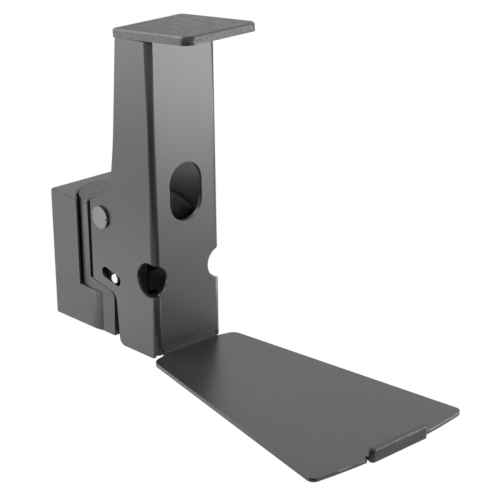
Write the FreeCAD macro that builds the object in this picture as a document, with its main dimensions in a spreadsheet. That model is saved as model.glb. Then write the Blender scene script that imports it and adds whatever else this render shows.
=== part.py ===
"""Wall bracket for a tabletop speaker: swivels on a wall block and tilts on two pivots.

Row frame: origin on the wall behind the middle of the wall block, +Y into the wall,
+X to the right, +Z up.  A depth is a distance from the wall, so it lies at Y = -depth.
"""
import FreeCAD, Part
import math
import os
import re

import Sketcher
from FreeCAD import Placement, Rotation, Vector

# alias, millimetres or degrees, what it is
SIZES = [
    # folded speaker holder
    ("face_depth", 94.5, "wall to the front face of the column"),
    ("column_width", 49.5, "outside width of the column"),
    ("sheet_metal", 2.3, "thickness of the folded sheet"),
    ("bend_radius", 3.6, "outside radius of the column's long bends"),
    ("fold_radius", 1.5, "inside radius of the cross folds"),
    ("platform_level", -39.6, "height of the platform's top at the column"),
    ("column_rise", 184.7, "platform to the underside of the top cap, at the column"),
    ("cheek_bottom", -42.7, "height of the cheeks' lower edge"),
    ("cheek_top_gap", 1.1, "cheek top below the cap's underside at the face"),
    ("cheek_top_fall", 2.9, "fall of the cheeks' top edge towards the wall, degrees"),
    ("cheek_rear", 58.8, "depth of the cheeks' lower rear edge, at the lugs"),
    ("cheek_rear_lean", 3.5, "lean of the cheeks' lower rear edge, degrees"),
    ("cheek_corner", 4.5, "radius of the cheeks' bottom rear corner"),
    ("back_low", 62.4, "depth of the straight back edge's lower end"),
    ("back_level", 94.5, "height of the straight back edge's lower end"),
    ("back_lean", 4.9, "lean of the column's straight back edge, degrees"),
    ("back_sweep", 390.0, "radius of the back edge's slow curve"),
    ("sweep_low", 58.5, "depth of the slow curve's lower end"),
    ("sweep_level", 62.9, "height of the slow curve's lower end"),
    ("back_curve", 26.9, "radius where the back edge runs into the lug"),
    ("lug_rear", 37.7, "depth of the lugs' rear edge"),
    ("lug_top", 41.2, "height of the lugs' rear upper corner"),
    ("lug_step", 5.2, "length of the lugs' top edge"),
    ("lug_rise", 17.0, "slope of the lugs' top edge, degrees"),
    ("lug_low", -7.4, "height of the lugs' rear lower corner"),
    ("lug_slope", 10.7, "fall of the lugs' lower edge towards the front, degrees"),
    ("lug_curve", 7.0, "radius between the lugs' lower edge and the cheek"),
    ("oval_level", 54.0, "height of the oval cable hole's middle"),
    ("oval_wide", 24.0, "width of the oval cable hole"),
    ("oval_tall", 34.6, "height of the oval cable hole"),
    ("notch_level", 5.0, "height of the corner cable holes"),
    ("notch_radius", 10.4, "radius of a corner cable hole on the cheek"),
    ("notch_cheek", 15.9, "reach of a corner hole onto the cheek"),
    ("notch_face", 9.5, "reach of a corner hole onto the front face"),
    ("relief_wide", 1.2, "width of the relief slits beside a fold"),
    ("relief_up", 2.2, "relief across the long bends above the cheeks' lower edge"),
    # platform
    ("platform_fall", 2.96, "fall of the platform towards the front, degrees"),
    ("platform_length", 158.7, "column face to the platform's front corners"),
    ("platform_front", 116.4, "width at the front corners"),
    ("platform_back", 61.0, "width of the side lines at the column face"),
    ("platform_bow", 4.3, "bow of the front edge"),
    ("shoulder_near", 1.9, "platform's rear edge in front of the face, beside the neck"),
    ("shoulder_far", 4.4, "platform's rear edge in front of the face, at its corners"),
    ("shoulder_curve", 6.0, "radius of the rear corners"),
    ("corner_curve", 4.0, "radius of the front corners"),
    ("tab_wide", 38.0, "width of the lip tab"),
    ("tab_ahead", 2.3, "lip tab's face in front of the platform's front edge"),
    ("tab_tall", 5.85, "height of the lip tab above the platform"),
    ("lip_wall", 0.95, "wall of the lip cover"),
    ("lip_below", 1.1, "lip cover's lower edge below the platform's top"),
    ("lip_round", 0.9, "rounding of the lip cover's upper edges"),
    ("lip_end_round", 1.9, "rounding of the lip cover's upright edges"),
    # top cap
    ("cap_rise", 4.9, "rise of the top cap towards the front, degrees"),
    ("cap_overhang", 1.35, "top cap's sides beyond the cheeks' outer faces"),
    ("cap_behind", 29.7, "top cap behind the column face"),
    ("cap_ahead", 34.5, "top cap in front of the column face"),
    ("cap_thick", 4.9, "thickness of the top cap"),
    ("cap_corner", 5.8, "radius of the top cap's front corners"),
    ("cap_rear_corner", 3.2, "radius of the top cap's rear corners"),
    ("cap_bevel", 0.9, "bevel of the top cap's upper edge"),
    ("cap_wall", 2.2, "end walls of the top cap"),
    ("flange_length", 31.0, "top flange in front of the column face"),
    # swivel
    ("swivel_depth", 35.2, "wall to the swivel axis"),
    ("swivel_limit", 35.0, "swivel to each side, degrees"),
    ("turret_inset", 0.25, "turret's sides inside the cheeks' outer faces"),
    ("turret_low", -14.3, "height of the turret's underside"),
    ("turret_top", 38.2, "height of the turret body's top"),
    ("turret_cap_thick", 2.3, "thickness of the turret cap"),
    ("cap_rib", 2.0, "thickness of the ribs that seat the turret cap"),
    ("casting_wall", 3.0, "wall of the turret's casting"),
    ("neck_radius", 11.0, "radius of the turret's neck"),
    ("neck_low", -16.5, "height of the neck's lower end"),
    ("cheek_gap", 1.45, "gap between the turret's nose and each cheek"),
    ("nose_front", 76.0, "depth of the turret's front"),
    ("nose_flat", 57.5, "depth where the nose's top starts to fall"),
    ("nose_curve", 35.0, "radius of the falling top of the nose"),
    ("pocket_rear", 34.6, "depth where the side pockets for the lugs start"),
    ("ledge_gap", 0.5, "gap between the lugs' lower edge and the ledge"),
    ("skirt_front", 56.5, "depth of the skirt's front edge, at the lugs"),
    ("skirt_lean", 2.0, "lean of the skirt's front edge, degrees"),
    ("skirt_rear", 45.4, "depth of the skirt's rear edge"),
    ("skirt_low", -39.0, "height of the skirt's lower edge"),
    ("skirt_curve", 5.0, "radius of the skirt's upper front corner"),
    ("drum_gap", 0.8, "gap between the skirt and the drum"),
    ("bolt_radius", 4.0, "radius of the swivel bolt"),
    ("bolt_flats", 13.0, "width across flats of the swivel bolt and nut"),
    ("bolt_head", 5.3, "height of the swivel bolt's head"),
    ("nut_thick", 6.5, "thickness of the swivel nut"),
    ("bush_radius", 5.5, "outside radius of the bushes"),
    ("bush_flange", 10.0, "radius of the bushes' flanges"),
    ("bush_flange_thick", 1.4, "thickness of the bushes' flanges"),
    ("bush_length", 12.0, "length of a bush's sleeve"),
    ("washer_radius", 8.0, "radius of the swivel washer and disc springs"),
    ("washer_thick", 1.5, "thickness of the swivel washer"),
    ("spring_thick", 0.8, "thickness of a disc spring"),
    ("running_gap", 0.05, "clearance of turning and sliding fits"),
    # wall block
    ("plate_thick", 3.0, "thickness of the wall plate"),
    ("plate_gap", 0.4, "gap between the wall plate and the cover's walls"),
    ("plate_arm", 9.7, "width of the wall plate's arms beside the ears"),
    ("ear_top", 27.0, "top of the upper ear"),
    ("ear_low", -21.0, "underside of the lower ear"),
    ("plate_bend", 1.5, "inside radius of the ears' bends"),
    ("screw_inset_x", 4.9, "wall screw holes in from the plate's sides"),
    ("screw_inset_z", 9.9, "wall screw holes in from the plate's ends"),
    ("screw_hole", 2.75, "radius of the wall screw holes"),
    ("cover_inset", 0.25, "wall cover's sides inside the cheeks' outer faces"),
    ("cover_height", 79.7, "height of the wall cover"),
    ("cover_drop", 0.35, "cover's middle below the wall plate's middle"),
    ("cover_depth", 23.9, "depth of the wall cover's upper part"),
    ("cover_wall", 2.2, "wall of the wall cover"),
    ("cover_round", 1.5, "rounding of the wall cover's outer edges"),
    ("recess_gap", 1.2, "gap between the turret and the cover's recess"),
    ("recess_bevel", 1.0, "bevel of the recess's upper edge"),
    ("drum_top", -14.9, "top of the cover's lower drum"),
    # tilt
    ("pivot_depth", 47.7, "wall to the tilt pivots"),
    ("pivot_level", 33.2, "height of the tilt pivots"),
    ("pivot_head", 6.7, "radius of the pivot screws' heads"),
    ("pivot_head_thick", 1.4, "thickness of the pivot screws' heads"),
    ("pivot_notch", 1.2, "size of the two rim notches in a pivot screw's head"),
    ("pivot_shoulder", 4.0, "radius of the pivot screws' shoulders"),
    ("pivot_thread", 3.0, "radius of the pivot screws' threads"),
    ("pivot_thread_length", 8.0, "length of the pivot screws' threads"),
    ("pivot_washer", 8.0, "radius of the pivot washers"),
    ("pin_radius", 2.9, "radius of the guide pin"),
    ("pin_depth", 57.5, "wall to the guide pin"),
    ("pin_level", -2.5, "height of the guide pin at rest"),
    ("slot_width", 6.6, "width of the cheeks' guide slots"),
    ("slot_fall", 14.0, "fall of the guide slots towards the front, degrees"),
    ("slot_ahead", 2.3, "slot's front end in front of the pin"),
    ("slot_behind", 8.2, "slot's rear end behind the pin"),
    ("carriage_up", 3.6, "travel of the carriage upwards"),
    ("carriage_down", 0.5, "travel of the carriage downwards"),
    ("carriage_width", 25.6, "width of the carriage"),
    ("carriage_half", 6.0, "half height of the carriage"),
    ("carriage_rear", 54.0, "depth of the carriage's rear face"),
    ("carriage_front", 75.0, "depth of the carriage's front face"),
    ("cavity_gap", 0.3, "gap round the carriage"),
    ("cavity_top", 20.0, "top of the turret's cavity"),
    ("cavity_floor", -12.0, "floor of the turret's cavity"),
    ("screw_depth", 68.5, "wall to the adjusting screw"),
    ("screw_radius", 3.0, "radius of the adjusting screw"),
    ("screw_head", 5.0, "radius of the adjusting screw's head"),
    ("screw_head_tall", 6.0, "height of the adjusting screw's head"),
    ("screw_sink", 0.9, "screw head above the turret's lower edge"),
    ("screw_socket", 2.5, "half the key width of the adjusting screw"),
    ("screw_end", 27.0, "height of the adjusting screw's end"),
    ("clip_radius", 5.5, "radius of the retaining clip"),
    ("clip_thick", 0.7, "thickness of the retaining clip"),
]

doc = FreeCAD.newDocument("speaker_wall_bracket")
dims = doc.addObject("Spreadsheet::Sheet", "Dims")
for row, (alias, number, meaning) in enumerate(SIZES, 1):
    dims.set(f"A{row}", alias)
    dims.set(f"B{row}", str(number))
    dims.set(f"C{row}", meaning)
    dims.setAlias(f"B{row}", alias)
doc.recompute()

ALIASES = {alias for alias, number, meaning in SIZES}
PARTS = []

# Sizes that several pieces share, worked out from the driving ones
HALF_COLUMN = "column_width / 2"
CHEEK_INSIDE = "(column_width / 2 - sheet_metal)"
FOLD_HALF = "(column_width / 2 - bend_radius)"
CAP_LEVEL = "(platform_level + column_rise)"
CHEEK_TOP = f"({CAP_LEVEL} - cheek_top_gap)"
CAP_SKIN = "((cap_thick - sheet_metal) / 2)"
HALF_NOSE = "(column_width / 2 - sheet_metal - cheek_gap)"
TAB_FACE = "(platform_length + platform_bow + tab_ahead)"
HALF_COVER = "(column_width / 2 - cover_inset)"
COVER_LOW = "(-cover_height / 2 - cover_drop)"
COVER_TOP = "(cover_height / 2 - cover_drop)"
COVER_INSIDE = f"({HALF_COVER} - cover_wall)"
HALF_PLATE = f"({COVER_INSIDE} - plate_gap)"
PLATE_END = "(cover_height / 2 - cover_drop - cover_wall - plate_gap)"
HALF_EAR = f"({HALF_PLATE} - plate_arm - relief_wide)"
STACK_LOW = "(ear_top + washer_thick)"
HEAD_LOW = f"({STACK_LOW} + 2 * spring_thick)"
SCREW_LOW = "(skirt_low + screw_sink)"
CLIP_LOW = "(cavity_floor + running_gap)"
HOLLOW_FRONT = "(-pivot_depth + pivot_thread + casting_wall)"
TURRET_RADIUS = "(column_width / 2 - turret_inset)"
TURRET_BACK = [(f"-{TURRET_RADIUS}", "-swivel_depth"), (TURRET_RADIUS, "-swivel_depth", TURRET_RADIUS)]
RECESS_RADIUS = f"({TURRET_RADIUS} + recess_gap)"


def full(expression):
    """The expression with each size read from the sheet."""
    return re.sub(r"[a-z]\w*", lambda m: "Dims." + m.group() if m.group() in ALIASES else m.group(),
                  expression)


def value(expression):
    """The number that an expression of the sizes gives now."""
    return float(dims.evalExpression(full(expression).replace("Dims.", "")))


def bind(thing, prop, expression):
    thing.setExpression(prop, full(expression))


def new_body(name, depth="0", level="0", side="0", axis=None, angle="0"):
    """A body of its own, placed at a depth and a level and turned about one axis."""
    body = doc.addObject("PartDesign::Body", name)
    body.Label = name
    if axis is not None:
        body.Placement = Placement(Vector(), Rotation(axis, value(angle)))
        bind(body, "Placement.Rotation.Angle", angle)
    bind(body, "Placement.Base.x", side)
    bind(body, "Placement.Base.y", f"-({depth})")
    bind(body, "Placement.Base.z", level)
    PARTS.append(body)
    return body


def new_sketch(body, name, plane, offset="0"):
    """A sketch on one of the body's own planes, moved along the plane's normal."""
    sketch = body.newObject("Sketcher::SketchObject", f"{body.Name}_{name}_sketch")
    support = [f for f in body.Origin.OriginFeatures if f.Role == plane][0]
    sketch.AttachmentSupport = [(support, "")]
    sketch.MapMode = "FlatFace"
    bind(sketch, "AttachmentOffset.Base.z", offset)
    return sketch


def lean_sketch(sketch, angle, depth, level):
    """Turns a sketch on the XY plane about X and puts its origin at a depth and level."""
    sketch.AttachmentOffset = Placement(Vector(), Rotation(Vector(1, 0, 0), value(angle)))
    bind(sketch, "AttachmentOffset.Rotation.Angle", angle)
    bind(sketch, "AttachmentOffset.Base.y", f"-({depth})")
    bind(sketch, "AttachmentOffset.Base.z", level)


def lean_side_sketch(sketch, angle, depth, level):
    """Turns a sketch on the YZ plane in its own plane and puts its origin at a depth and level."""
    sketch.AttachmentOffset = Placement(Vector(), Rotation(Vector(0, 0, 1), value(angle)))
    bind(sketch, "AttachmentOffset.Rotation.Angle", angle)
    bind(sketch, "AttachmentOffset.Base.x", f"-({depth})")
    bind(sketch, "AttachmentOffset.Base.y", level)


def arc_middle(start, end, radius):
    """Middle of the arc from start to end: it turns left if the radius is positive."""
    chord = end - start
    half = chord.Length / 2
    sag = abs(radius) - math.sqrt(max(radius ** 2 - half ** 2, 0))
    right = Vector(chord.y, -chord.x, 0).normalize()
    return (start + end) * 0.5 + right * math.copysign(sag, radius)


def draw(sketch, points):
    """A closed outline.  A point is (x, y), or (x, y, radius) where an arc leaves it."""
    spots = [Vector(value(p[0]), value(p[1]), 0) for p in points]
    first = sketch.GeometryCount
    count = len(points)
    ends = []
    for i, point in enumerate(points):
        start, end = spots[i], spots[(i + 1) % count]
        if len(point) == 3:
            radius = value(point[2])
            arc = Part.Arc(start, arc_middle(start, end, radius), end)
            sketch.addGeometry(arc, False)
            ends.append((1, 2) if radius > 0 else (2, 1))
        else:
            sketch.addGeometry(Part.LineSegment(start, end), False)
            ends.append((1, 2))
    for i, point in enumerate(points):
        after = (i + 1) % count
        sketch.addConstraint(Sketcher.Constraint("Coincident", first + i, ends[i][1],
                                                 first + after, ends[after][0]))
        for kind, text, number in (("DistanceX", point[0], spots[i].x), ("DistanceY", point[1], spots[i].y)):
            index = sketch.addConstraint(Sketcher.Constraint(kind, first + i, ends[i][0], number))
            bind(sketch, f"Constraints[{index}]", text)
        if len(point) == 3:
            chord = spots[after] - spots[i]
            if abs(chord.Length - 2 * abs(value(point[2]))) < 1e-6:
                # a half circle has its centre half way along its chord
                kind, k = ("DistanceY", 1) if abs(chord.x) > abs(chord.y) else ("DistanceX", 0)
                where, text = (first + i, 3), f"(({point[k]}) + ({points[after][k]})) / 2"
            else:
                kind, where, text = "Radius", (first + i,), point[2].lstrip("-")
            index = sketch.addConstraint(Sketcher.Constraint(kind, *where, value(text)))
            bind(sketch, f"Constraints[{index}]", text)
    return sketch


def draw_circle(sketch, x, y, radius):
    index = sketch.GeometryCount
    centre = Vector(value(x), value(y), 0)
    sketch.addGeometry(Part.Circle(centre, Vector(0, 0, 1), value(radius)), False)
    for kind, text in (("DistanceX", x), ("DistanceY", y)):
        number = sketch.addConstraint(Sketcher.Constraint(kind, index, 3, value(text)))
        bind(sketch, f"Constraints[{number}]", text)
    number = sketch.addConstraint(Sketcher.Constraint("Radius", index, value(radius)))
    bind(sketch, f"Constraints[{number}]", radius)
    return sketch


def rectangle(x0, x1, y0, y1):
    return [(x0, y0), (x1, y0), (x1, y1), (x0, y1)]


def feature(body, kind, name, sketch, length, both, against):
    """A pad or pocket: both ways from its sketch, or one way, against its normal or along it."""
    made = body.newObject(f"PartDesign::{kind}", f"{body.Name}_{name}")
    made.Profile = sketch
    made.SideType = "Symmetric" if both else "One side"
    bind(made, "Length", length)
    made.Reversed = against if kind == "Pad" else not against
    sketch.Visibility = False
    return made


def pad(body, name, sketch, length, both=False, against=False):
    return feature(body, "Pad", name, sketch, length, both, against)


def cut(body, name, sketch, length, both=False, against=False):
    return feature(body, "Pocket", name, sketch, length, both, against)


def turn(body, name, plane, points, offset="0", groove=False):
    """A profile of (radius, height) points, turned about the vertical axis of its sketch."""
    sketch = draw(new_sketch(body, name, plane, offset), points)
    made = body.newObject("PartDesign::Groove" if groove else "PartDesign::Revolution",
                          f"{body.Name}_{name}")
    made.Profile = sketch
    made.ReferenceAxis = (sketch, ["V_Axis"])
    made.Angle = 360
    return made


def round_edges(body, name, radius, wanted, kind="Fillet"):
    """Rounds or bevels the edges of the body so far that the test accepts."""
    doc.recompute()
    base = body.Tip
    names = [f"Edge{i}" for i, edge in enumerate(base.Shape.Edges, 1) if wanted(edge)]
    if not names:
        raise RuntimeError(f"{body.Name}_{name}: no edge found")
    made = body.newObject(f"PartDesign::{kind}", f"{body.Name}_{name}")
    made.Base = (base, names)
    bind(made, "Radius" if kind == "Fillet" else "Size", radius)
    return made


def near(edge, x=None, y=None, z=None, tolerance=0.02):
    """True where the middle of the edge's box has the coordinates that are given."""
    middle = edge.BoundBox.Center
    pairs = ((middle.x, x), (middle.y, y), (middle.z, z))
    return all(want is None or abs(have - want) < tolerance for have, want in pairs)


def along(edge, axis):
    """True for a straight edge along X, Y or Z."""
    box = edge.BoundBox
    spans = {"X": box.XLength, "Y": box.YLength, "Z": box.ZLength}
    others = [span for key, span in spans.items() if key != axis]
    return spans[axis] > 0.05 and max(others) < 0.001


def ring(name, inner, outer, low, high, **place):
    """A plain ring about the swivel axis or where it is placed."""
    body = new_body(name, **place)
    turn(body, "section", "XZ_Plane", rectangle(inner, outer, low, high))
    return body


def wall_plate():
    """Folded steel plate: four wall screw holes, and two ears that hold the swivel bolt."""
    body = new_body("wall_plate")
    section = new_sketch(body, "section", "YZ_Plane")
    draw(section, [("0", "ear_low"), ("0", "ear_top"), ("-swivel_depth", "ear_top"),
                   ("-swivel_depth", "ear_top - plate_thick"), ("-plate_thick", "ear_top - plate_thick"),
                   ("-plate_thick", "ear_low + plate_thick"), ("-swivel_depth", "ear_low + plate_thick"),
                   ("-swivel_depth", "ear_low")])
    pad(body, "channel", section, f"2 * {HALF_EAR}", both=True)
    for name, low in (("lower", "ear_low"), ("upper", "ear_top - plate_thick")):
        tip = new_sketch(body, f"{name}_tip", "XY_Plane", low)
        pad(body, f"{name}_tip", draw_circle(tip, "0", "-swivel_depth", HALF_EAR), "plate_thick")
    round_edges(body, "inner_bends", "plate_bend",
                lambda e: along(e, "X") and near(e, y=-value("plate_thick")))
    round_edges(body, "outer_bends", "plate_bend + plate_thick",
                lambda e: along(e, "X") and near(e, y=0))
    side, beside = HALF_PLATE, f"({HALF_EAR} + relief_wide)"
    end, low = PLATE_END, "ear_low + plate_thick + plate_bend"
    high = "ear_top - plate_thick - plate_bend"
    plate = new_sketch(body, "plate", "XZ_Plane")
    draw(plate, [(f"-{side}", f"-{end}"), (f"-{beside}", f"-{end}"), (f"-{beside}", low), (beside, low),
                 (beside, f"-{end}"), (side, f"-{end}"), (side, end), (beside, end), (beside, high),
                 (f"-{beside}", high), (f"-{beside}", end), (f"-{side}", end)])
    pad(body, "plate", plate, "plate_thick")
    holes = new_sketch(body, "wall_holes", "XZ_Plane", "-1")
    for x in (f"-({side} - screw_inset_x)", f"{side} - screw_inset_x"):
        for z in (f"-({end} - screw_inset_z)", f"{end} - screw_inset_z"):
            draw_circle(holes, x, z, "screw_hole")
    cut(body, "wall_holes", holes, "plate_thick + 2")
    bolt = new_sketch(body, "bolt_holes", "XY_Plane", "ear_low - 1")
    draw_circle(bolt, "0", "-swivel_depth", "bolt_radius + 2 * running_gap")
    cut(body, "bolt_holes", bolt, "ear_top - ear_low + 2")
    return body


def wall_cover():
    """Moulded shell over the wall plate: a recess for the turret above, a round drum below."""
    body = new_body("wall_cover")
    base, top = COVER_LOW, COVER_TOP
    block = new_sketch(body, "block", "XY_Plane", base)
    draw(block, rectangle(f"-{HALF_COVER}", HALF_COVER, "-cover_depth", "0"))
    pad(body, "block", block, "cover_height")
    drum = new_sketch(body, "drum", "XY_Plane", base)
    draw(drum, [(f"-{HALF_COVER}", "0"), (f"-{HALF_COVER}", "-swivel_depth", HALF_COVER),
                (HALF_COVER, "-swivel_depth"), (HALF_COVER, "0")])
    pad(body, "drum", drum, f"drum_top - {base}")
    top_z, low_z = value(top), value(base)
    round_edges(body, "upper_edges", "cover_round", lambda e: near(e, z=top_z) and not near(e, y=0))
    round_edges(body, "lower_edges", "cover_round / 2",
                lambda e: near(e, z=low_z) and not near(e, y=0), kind="Chamfer")
    turn(body, "recess", "XZ_Plane",
         [("0", "drum_top"), (RECESS_RADIUS, "drum_top"), (RECESS_RADIUS, f"{top} - recess_bevel"),
          (f"{RECESS_RADIUS} + recess_bevel", top), (f"{RECESS_RADIUS} + recess_bevel", f"{top} + 1"),
          ("0", f"{top} + 1")], offset="swivel_depth", groove=True)
    lower = new_sketch(body, "lower_hollow", "XY_Plane", f"{base} + cover_wall")
    draw(lower, [(f"-{COVER_INSIDE}", "1"), (f"-{COVER_INSIDE}", "-swivel_depth", COVER_INSIDE),
                 (COVER_INSIDE, "-swivel_depth"), (COVER_INSIDE, "1")])
    cut(body, "lower_hollow", lower, f"drum_top - {base} - 2 * cover_wall")
    around = f"({RECESS_RADIUS} + cover_wall)"
    reach = f"(sqrt({around} ^ 2 - {COVER_INSIDE} ^ 2) - swivel_depth)"
    upper = new_sketch(body, "upper_hollow", "XY_Plane", "drum_top - 1.5 * cover_wall")
    draw(upper, [(f"-{COVER_INSIDE}", "1"), (f"-{COVER_INSIDE}", reach, f"-{around}"),
                 (COVER_INSIDE, reach), (COVER_INSIDE, "1")])
    cut(body, "upper_hollow", upper, f"{top} - drum_top + 0.5 * cover_wall")
    window = new_sketch(body, "ear_window", "XZ_Plane", "plate_thick")
    draw(window, rectangle(f"-{HALF_EAR} - 0.5", f"{HALF_EAR} + 0.5",
                           "ear_top - plate_thick - 0.5", "ear_top + 0.5"))
    cut(body, "ear_window", window, f"swivel_depth - plate_thick - {RECESS_RADIUS} / 2")
    neck = new_sketch(body, "neck_slot", "XY_Plane", "neck_low - 2")
    draw(neck, [("-neck_radius - 1", f"-swivel_depth - {HALF_COVER} - 1"),
                ("neck_radius + 1", f"-swivel_depth - {HALF_COVER} - 1"),
                ("neck_radius + 1", "-swivel_depth", "neck_radius + 1"),
                ("-neck_radius - 1", "-swivel_depth")])
    cut(body, "neck_slot", neck, "drum_top - neck_low + 3")
    return body


def hexagon(across):
    """Corners of a hexagon about the swivel axis, from its width across flats."""
    corner = f"({across}) / sqrt(3)"
    return [(f"{corner} * cos({60 * k} deg)", f"{corner} * sin({60 * k} deg)") for k in range(6)]


def swivel_bolt():
    body = new_body("swivel_bolt", depth="swivel_depth")
    head = draw(new_sketch(body, "head", "XY_Plane", HEAD_LOW), hexagon("bolt_flats"))
    pad(body, "head", head, "bolt_head")
    shank = new_sketch(body, "shank", "XY_Plane", "ear_low - nut_thick - 2")
    draw_circle(shank, "0", "0", "bolt_radius")
    pad(body, "shank", shank, f"{HEAD_LOW} - ear_low + nut_thick + 2")
    round_edges(body, "end", "bolt_radius / 5",
                lambda e: near(e, z=value("ear_low - nut_thick - 2")), kind="Chamfer")
    return body


def swivel_nut():
    body = new_body("swivel_nut", depth="swivel_depth")
    block = draw(new_sketch(body, "block", "XY_Plane", "ear_low - nut_thick"), hexagon("bolt_flats"))
    pad(body, "block", block, "nut_thick")
    bore = new_sketch(body, "bore", "XY_Plane", "ear_low - nut_thick - 1")
    draw_circle(bore, "0", "0", "bolt_radius + running_gap")
    cut(body, "bore", bore, "nut_thick + 2")
    return body


def swivel_stack():
    """Washer and two disc springs, pressed flat, between the upper ear and the bolt's head."""
    levels = ("ear_top", STACK_LOW, f"{STACK_LOW} + spring_thick", HEAD_LOW)
    for number, name in enumerate(("swivel_washer", "disc_spring_lower", "disc_spring_upper")):
        ring(name, "bolt_radius + 2 * running_gap", "washer_radius", levels[number], levels[number + 1],
             depth="swivel_depth")


def bush(name, low, high, flange_low, flange_high):
    """Flanged nylon bush: its sleeve sits in the turret and its bore turns on the bolt."""
    body = new_body(name, depth="swivel_depth")
    bore = "bolt_radius + running_gap"
    if flange_low == low:
        points = [(bore, low), ("bush_flange", low), ("bush_flange", flange_high),
                  ("bush_radius", flange_high), ("bush_radius", high), (bore, high)]
    else:
        points = [(bore, low), ("bush_radius", low), ("bush_radius", flange_low),
                  ("bush_flange", flange_low), ("bush_flange", high), (bore, high)]
    turn(body, "section", "XZ_Plane", points)
    return body


def swivel_bushes():
    low = "ear_low + plate_thick + running_gap"
    high = "ear_top - plate_thick - running_gap"
    bush("bush_lower", low, f"{low} + bush_flange_thick + bush_length", low, f"{low} + bush_flange_thick")
    bush("bush_upper", f"{high} - bush_flange_thick - bush_length", high,
         f"{high} - bush_flange_thick", high)


def nose_top(inset):
    """Side outline of the nose's falling top: its start, its arc's radius and its end."""
    radius = f"(nose_curve - {inset})"
    centre = "(turret_top + turret_cap_thick - nose_curve)"
    end = f"{centre} + sqrt({radius} ^ 2 - (nose_front - nose_flat - {inset}) ^ 2)"
    return ("-nose_flat", f"{centre} + {radius}"), radius, (f"-nose_front + {inset}", end)


def ledge_level(depth):
    """Height of the ledge under the lugs at a depth."""
    return f"(lug_low - ledge_gap / cos(lug_slope * 1 deg) - ({depth} - lug_rear) * tan(lug_slope * 1 deg))"


def side_pockets(body, roof):
    """Cuts the body back to the nose's width beside the lugs and in front of the skirt."""
    low_front = f"-skirt_front + ({ledge_level('skirt_front')} - skirt_low + 1) * tan(skirt_lean * 1 deg)"
    outline = [("-pocket_rear", roof), ("-pocket_rear", ledge_level("pocket_rear")),
               ("-skirt_front", ledge_level("skirt_front")), (low_front, "skirt_low - 1"),
               ("-nose_front - 5", "skirt_low - 1"), ("-nose_front - 5", roof)]
    sides = (("right_pocket", HALF_NOSE, False), ("left_pocket", f"-{HALF_NOSE}", True))
    for name, offset, against in sides:
        sketch = draw(new_sketch(body, name, "YZ_Plane", offset), outline)
        cut(body, name, sketch, TURRET_RADIUS, against=against)


def turret_body():
    """Casting that swivels: round at the back, a nose between the cheeks and a skirt below."""
    body = new_body("turret_body")
    barrel = draw(new_sketch(body, "barrel", "XY_Plane", "turret_low"), TURRET_BACK)
    pad(body, "barrel", barrel, "turret_top - turret_low")
    start, radius, end = nose_top("turret_cap_thick")
    nose = new_sketch(body, "nose", "YZ_Plane")
    draw(nose, [("-swivel_depth", "turret_low"), ("-swivel_depth", "turret_top"),
                (start[0], start[1], radius), end, (end[0], "skirt_low"),
                ("-skirt_rear", "skirt_low"), ("-skirt_rear", "turret_low")])
    pad(body, "nose", nose, f"2 * {TURRET_RADIUS}", both=True)
    side_pockets(body, "turret_top + 5")
    corner_y, corner_z = value("-skirt_front"), value(ledge_level("skirt_front"))
    round_edges(body, "skirt_corners", "skirt_curve",
                lambda e: along(e, "X") and near(e, y=corner_y, z=corner_z))
    around = new_sketch(body, "drum_space", "XY_Plane", "skirt_low - 1")
    draw_circle(around, "0", "-swivel_depth", f"{HALF_COVER} + drum_gap")
    cut(body, "drum_space", around, "turret_low - skirt_low + 1")
    neck = new_sketch(body, "neck", "XY_Plane", "neck_low")
    draw_circle(neck, "0", "-swivel_depth", "neck_radius")
    pad(body, "neck", neck, "turret_low - neck_low + 1")
    slot_floor = "(ear_top - plate_thick - bush_flange_thick - 2 * running_gap)"
    hollow_casting(body, slot_floor)
    bore = new_sketch(body, "bore", "XY_Plane", "neck_low - 1")
    draw_circle(bore, "0", "-swivel_depth", "bush_radius + running_gap")
    cut(body, "bore", bore, "turret_top - neck_low + 2")
    slot_height = "plate_thick + bush_flange_thick + 1.3"
    turned, half = "((swivel_limit + 1) * 1 deg)", f"({HALF_EAR} + 0.5)"
    near_x, near_y = f"{half} * cos({turned})", f"(-swivel_depth - {half} * sin({turned}))"
    far_x = f"({near_x} + 2 * {TURRET_RADIUS} * sin({turned}))"
    far_y = f"({near_y} + 2 * {TURRET_RADIUS} * cos({turned}))"
    slot = new_sketch(body, "ear_slot", "XY_Plane", slot_floor)
    draw(slot, [(f"-{near_x}", near_y), (near_x, near_y), (far_x, far_y), (f"-{far_x}", far_y)])
    cut(body, "ear_slot", slot, slot_height)
    turning = new_sketch(body, "ear_space", "XY_Plane", slot_floor)
    draw_circle(turning, "0", "-swivel_depth", f"{HALF_EAR} + 1")
    cut(body, "ear_space", turning, slot_height)
    well = new_sketch(body, "bolt_well", "XY_Plane", slot_floor)
    draw_circle(well, "0", "-swivel_depth", "bush_flange + 1.5")
    cut(body, "bolt_well", well, "turret_top - ear_top + plate_thick + bush_flange_thick + 2")
    tilt_cavity(body)
    return body


def hollow_casting(body, sleeve_top):
    """Hollow under the cap, with a sleeve for the bushes standing in it."""
    inner_radius = f"({TURRET_RADIUS} - casting_wall)"
    side = f"({HALF_NOSE} - casting_wall)"
    back = f"(sqrt({inner_radius} ^ 2 - {side} ^ 2) - swivel_depth)"
    hollow = new_sketch(body, "hollow", "XY_Plane", "turret_low + casting_wall")
    draw(hollow, [(f"-{side}", HOLLOW_FRONT), (side, HOLLOW_FRONT), (side, back, inner_radius),
                  (f"-{side}", back)])
    cut(body, "hollow", hollow, "turret_top - turret_low")
    sleeve = new_sketch(body, "sleeve", "XY_Plane", "turret_low")
    draw_circle(sleeve, "0", "-swivel_depth", "bush_radius + casting_wall")
    pad(body, "sleeve", sleeve, f"{sleeve_top} - turret_low")


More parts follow.
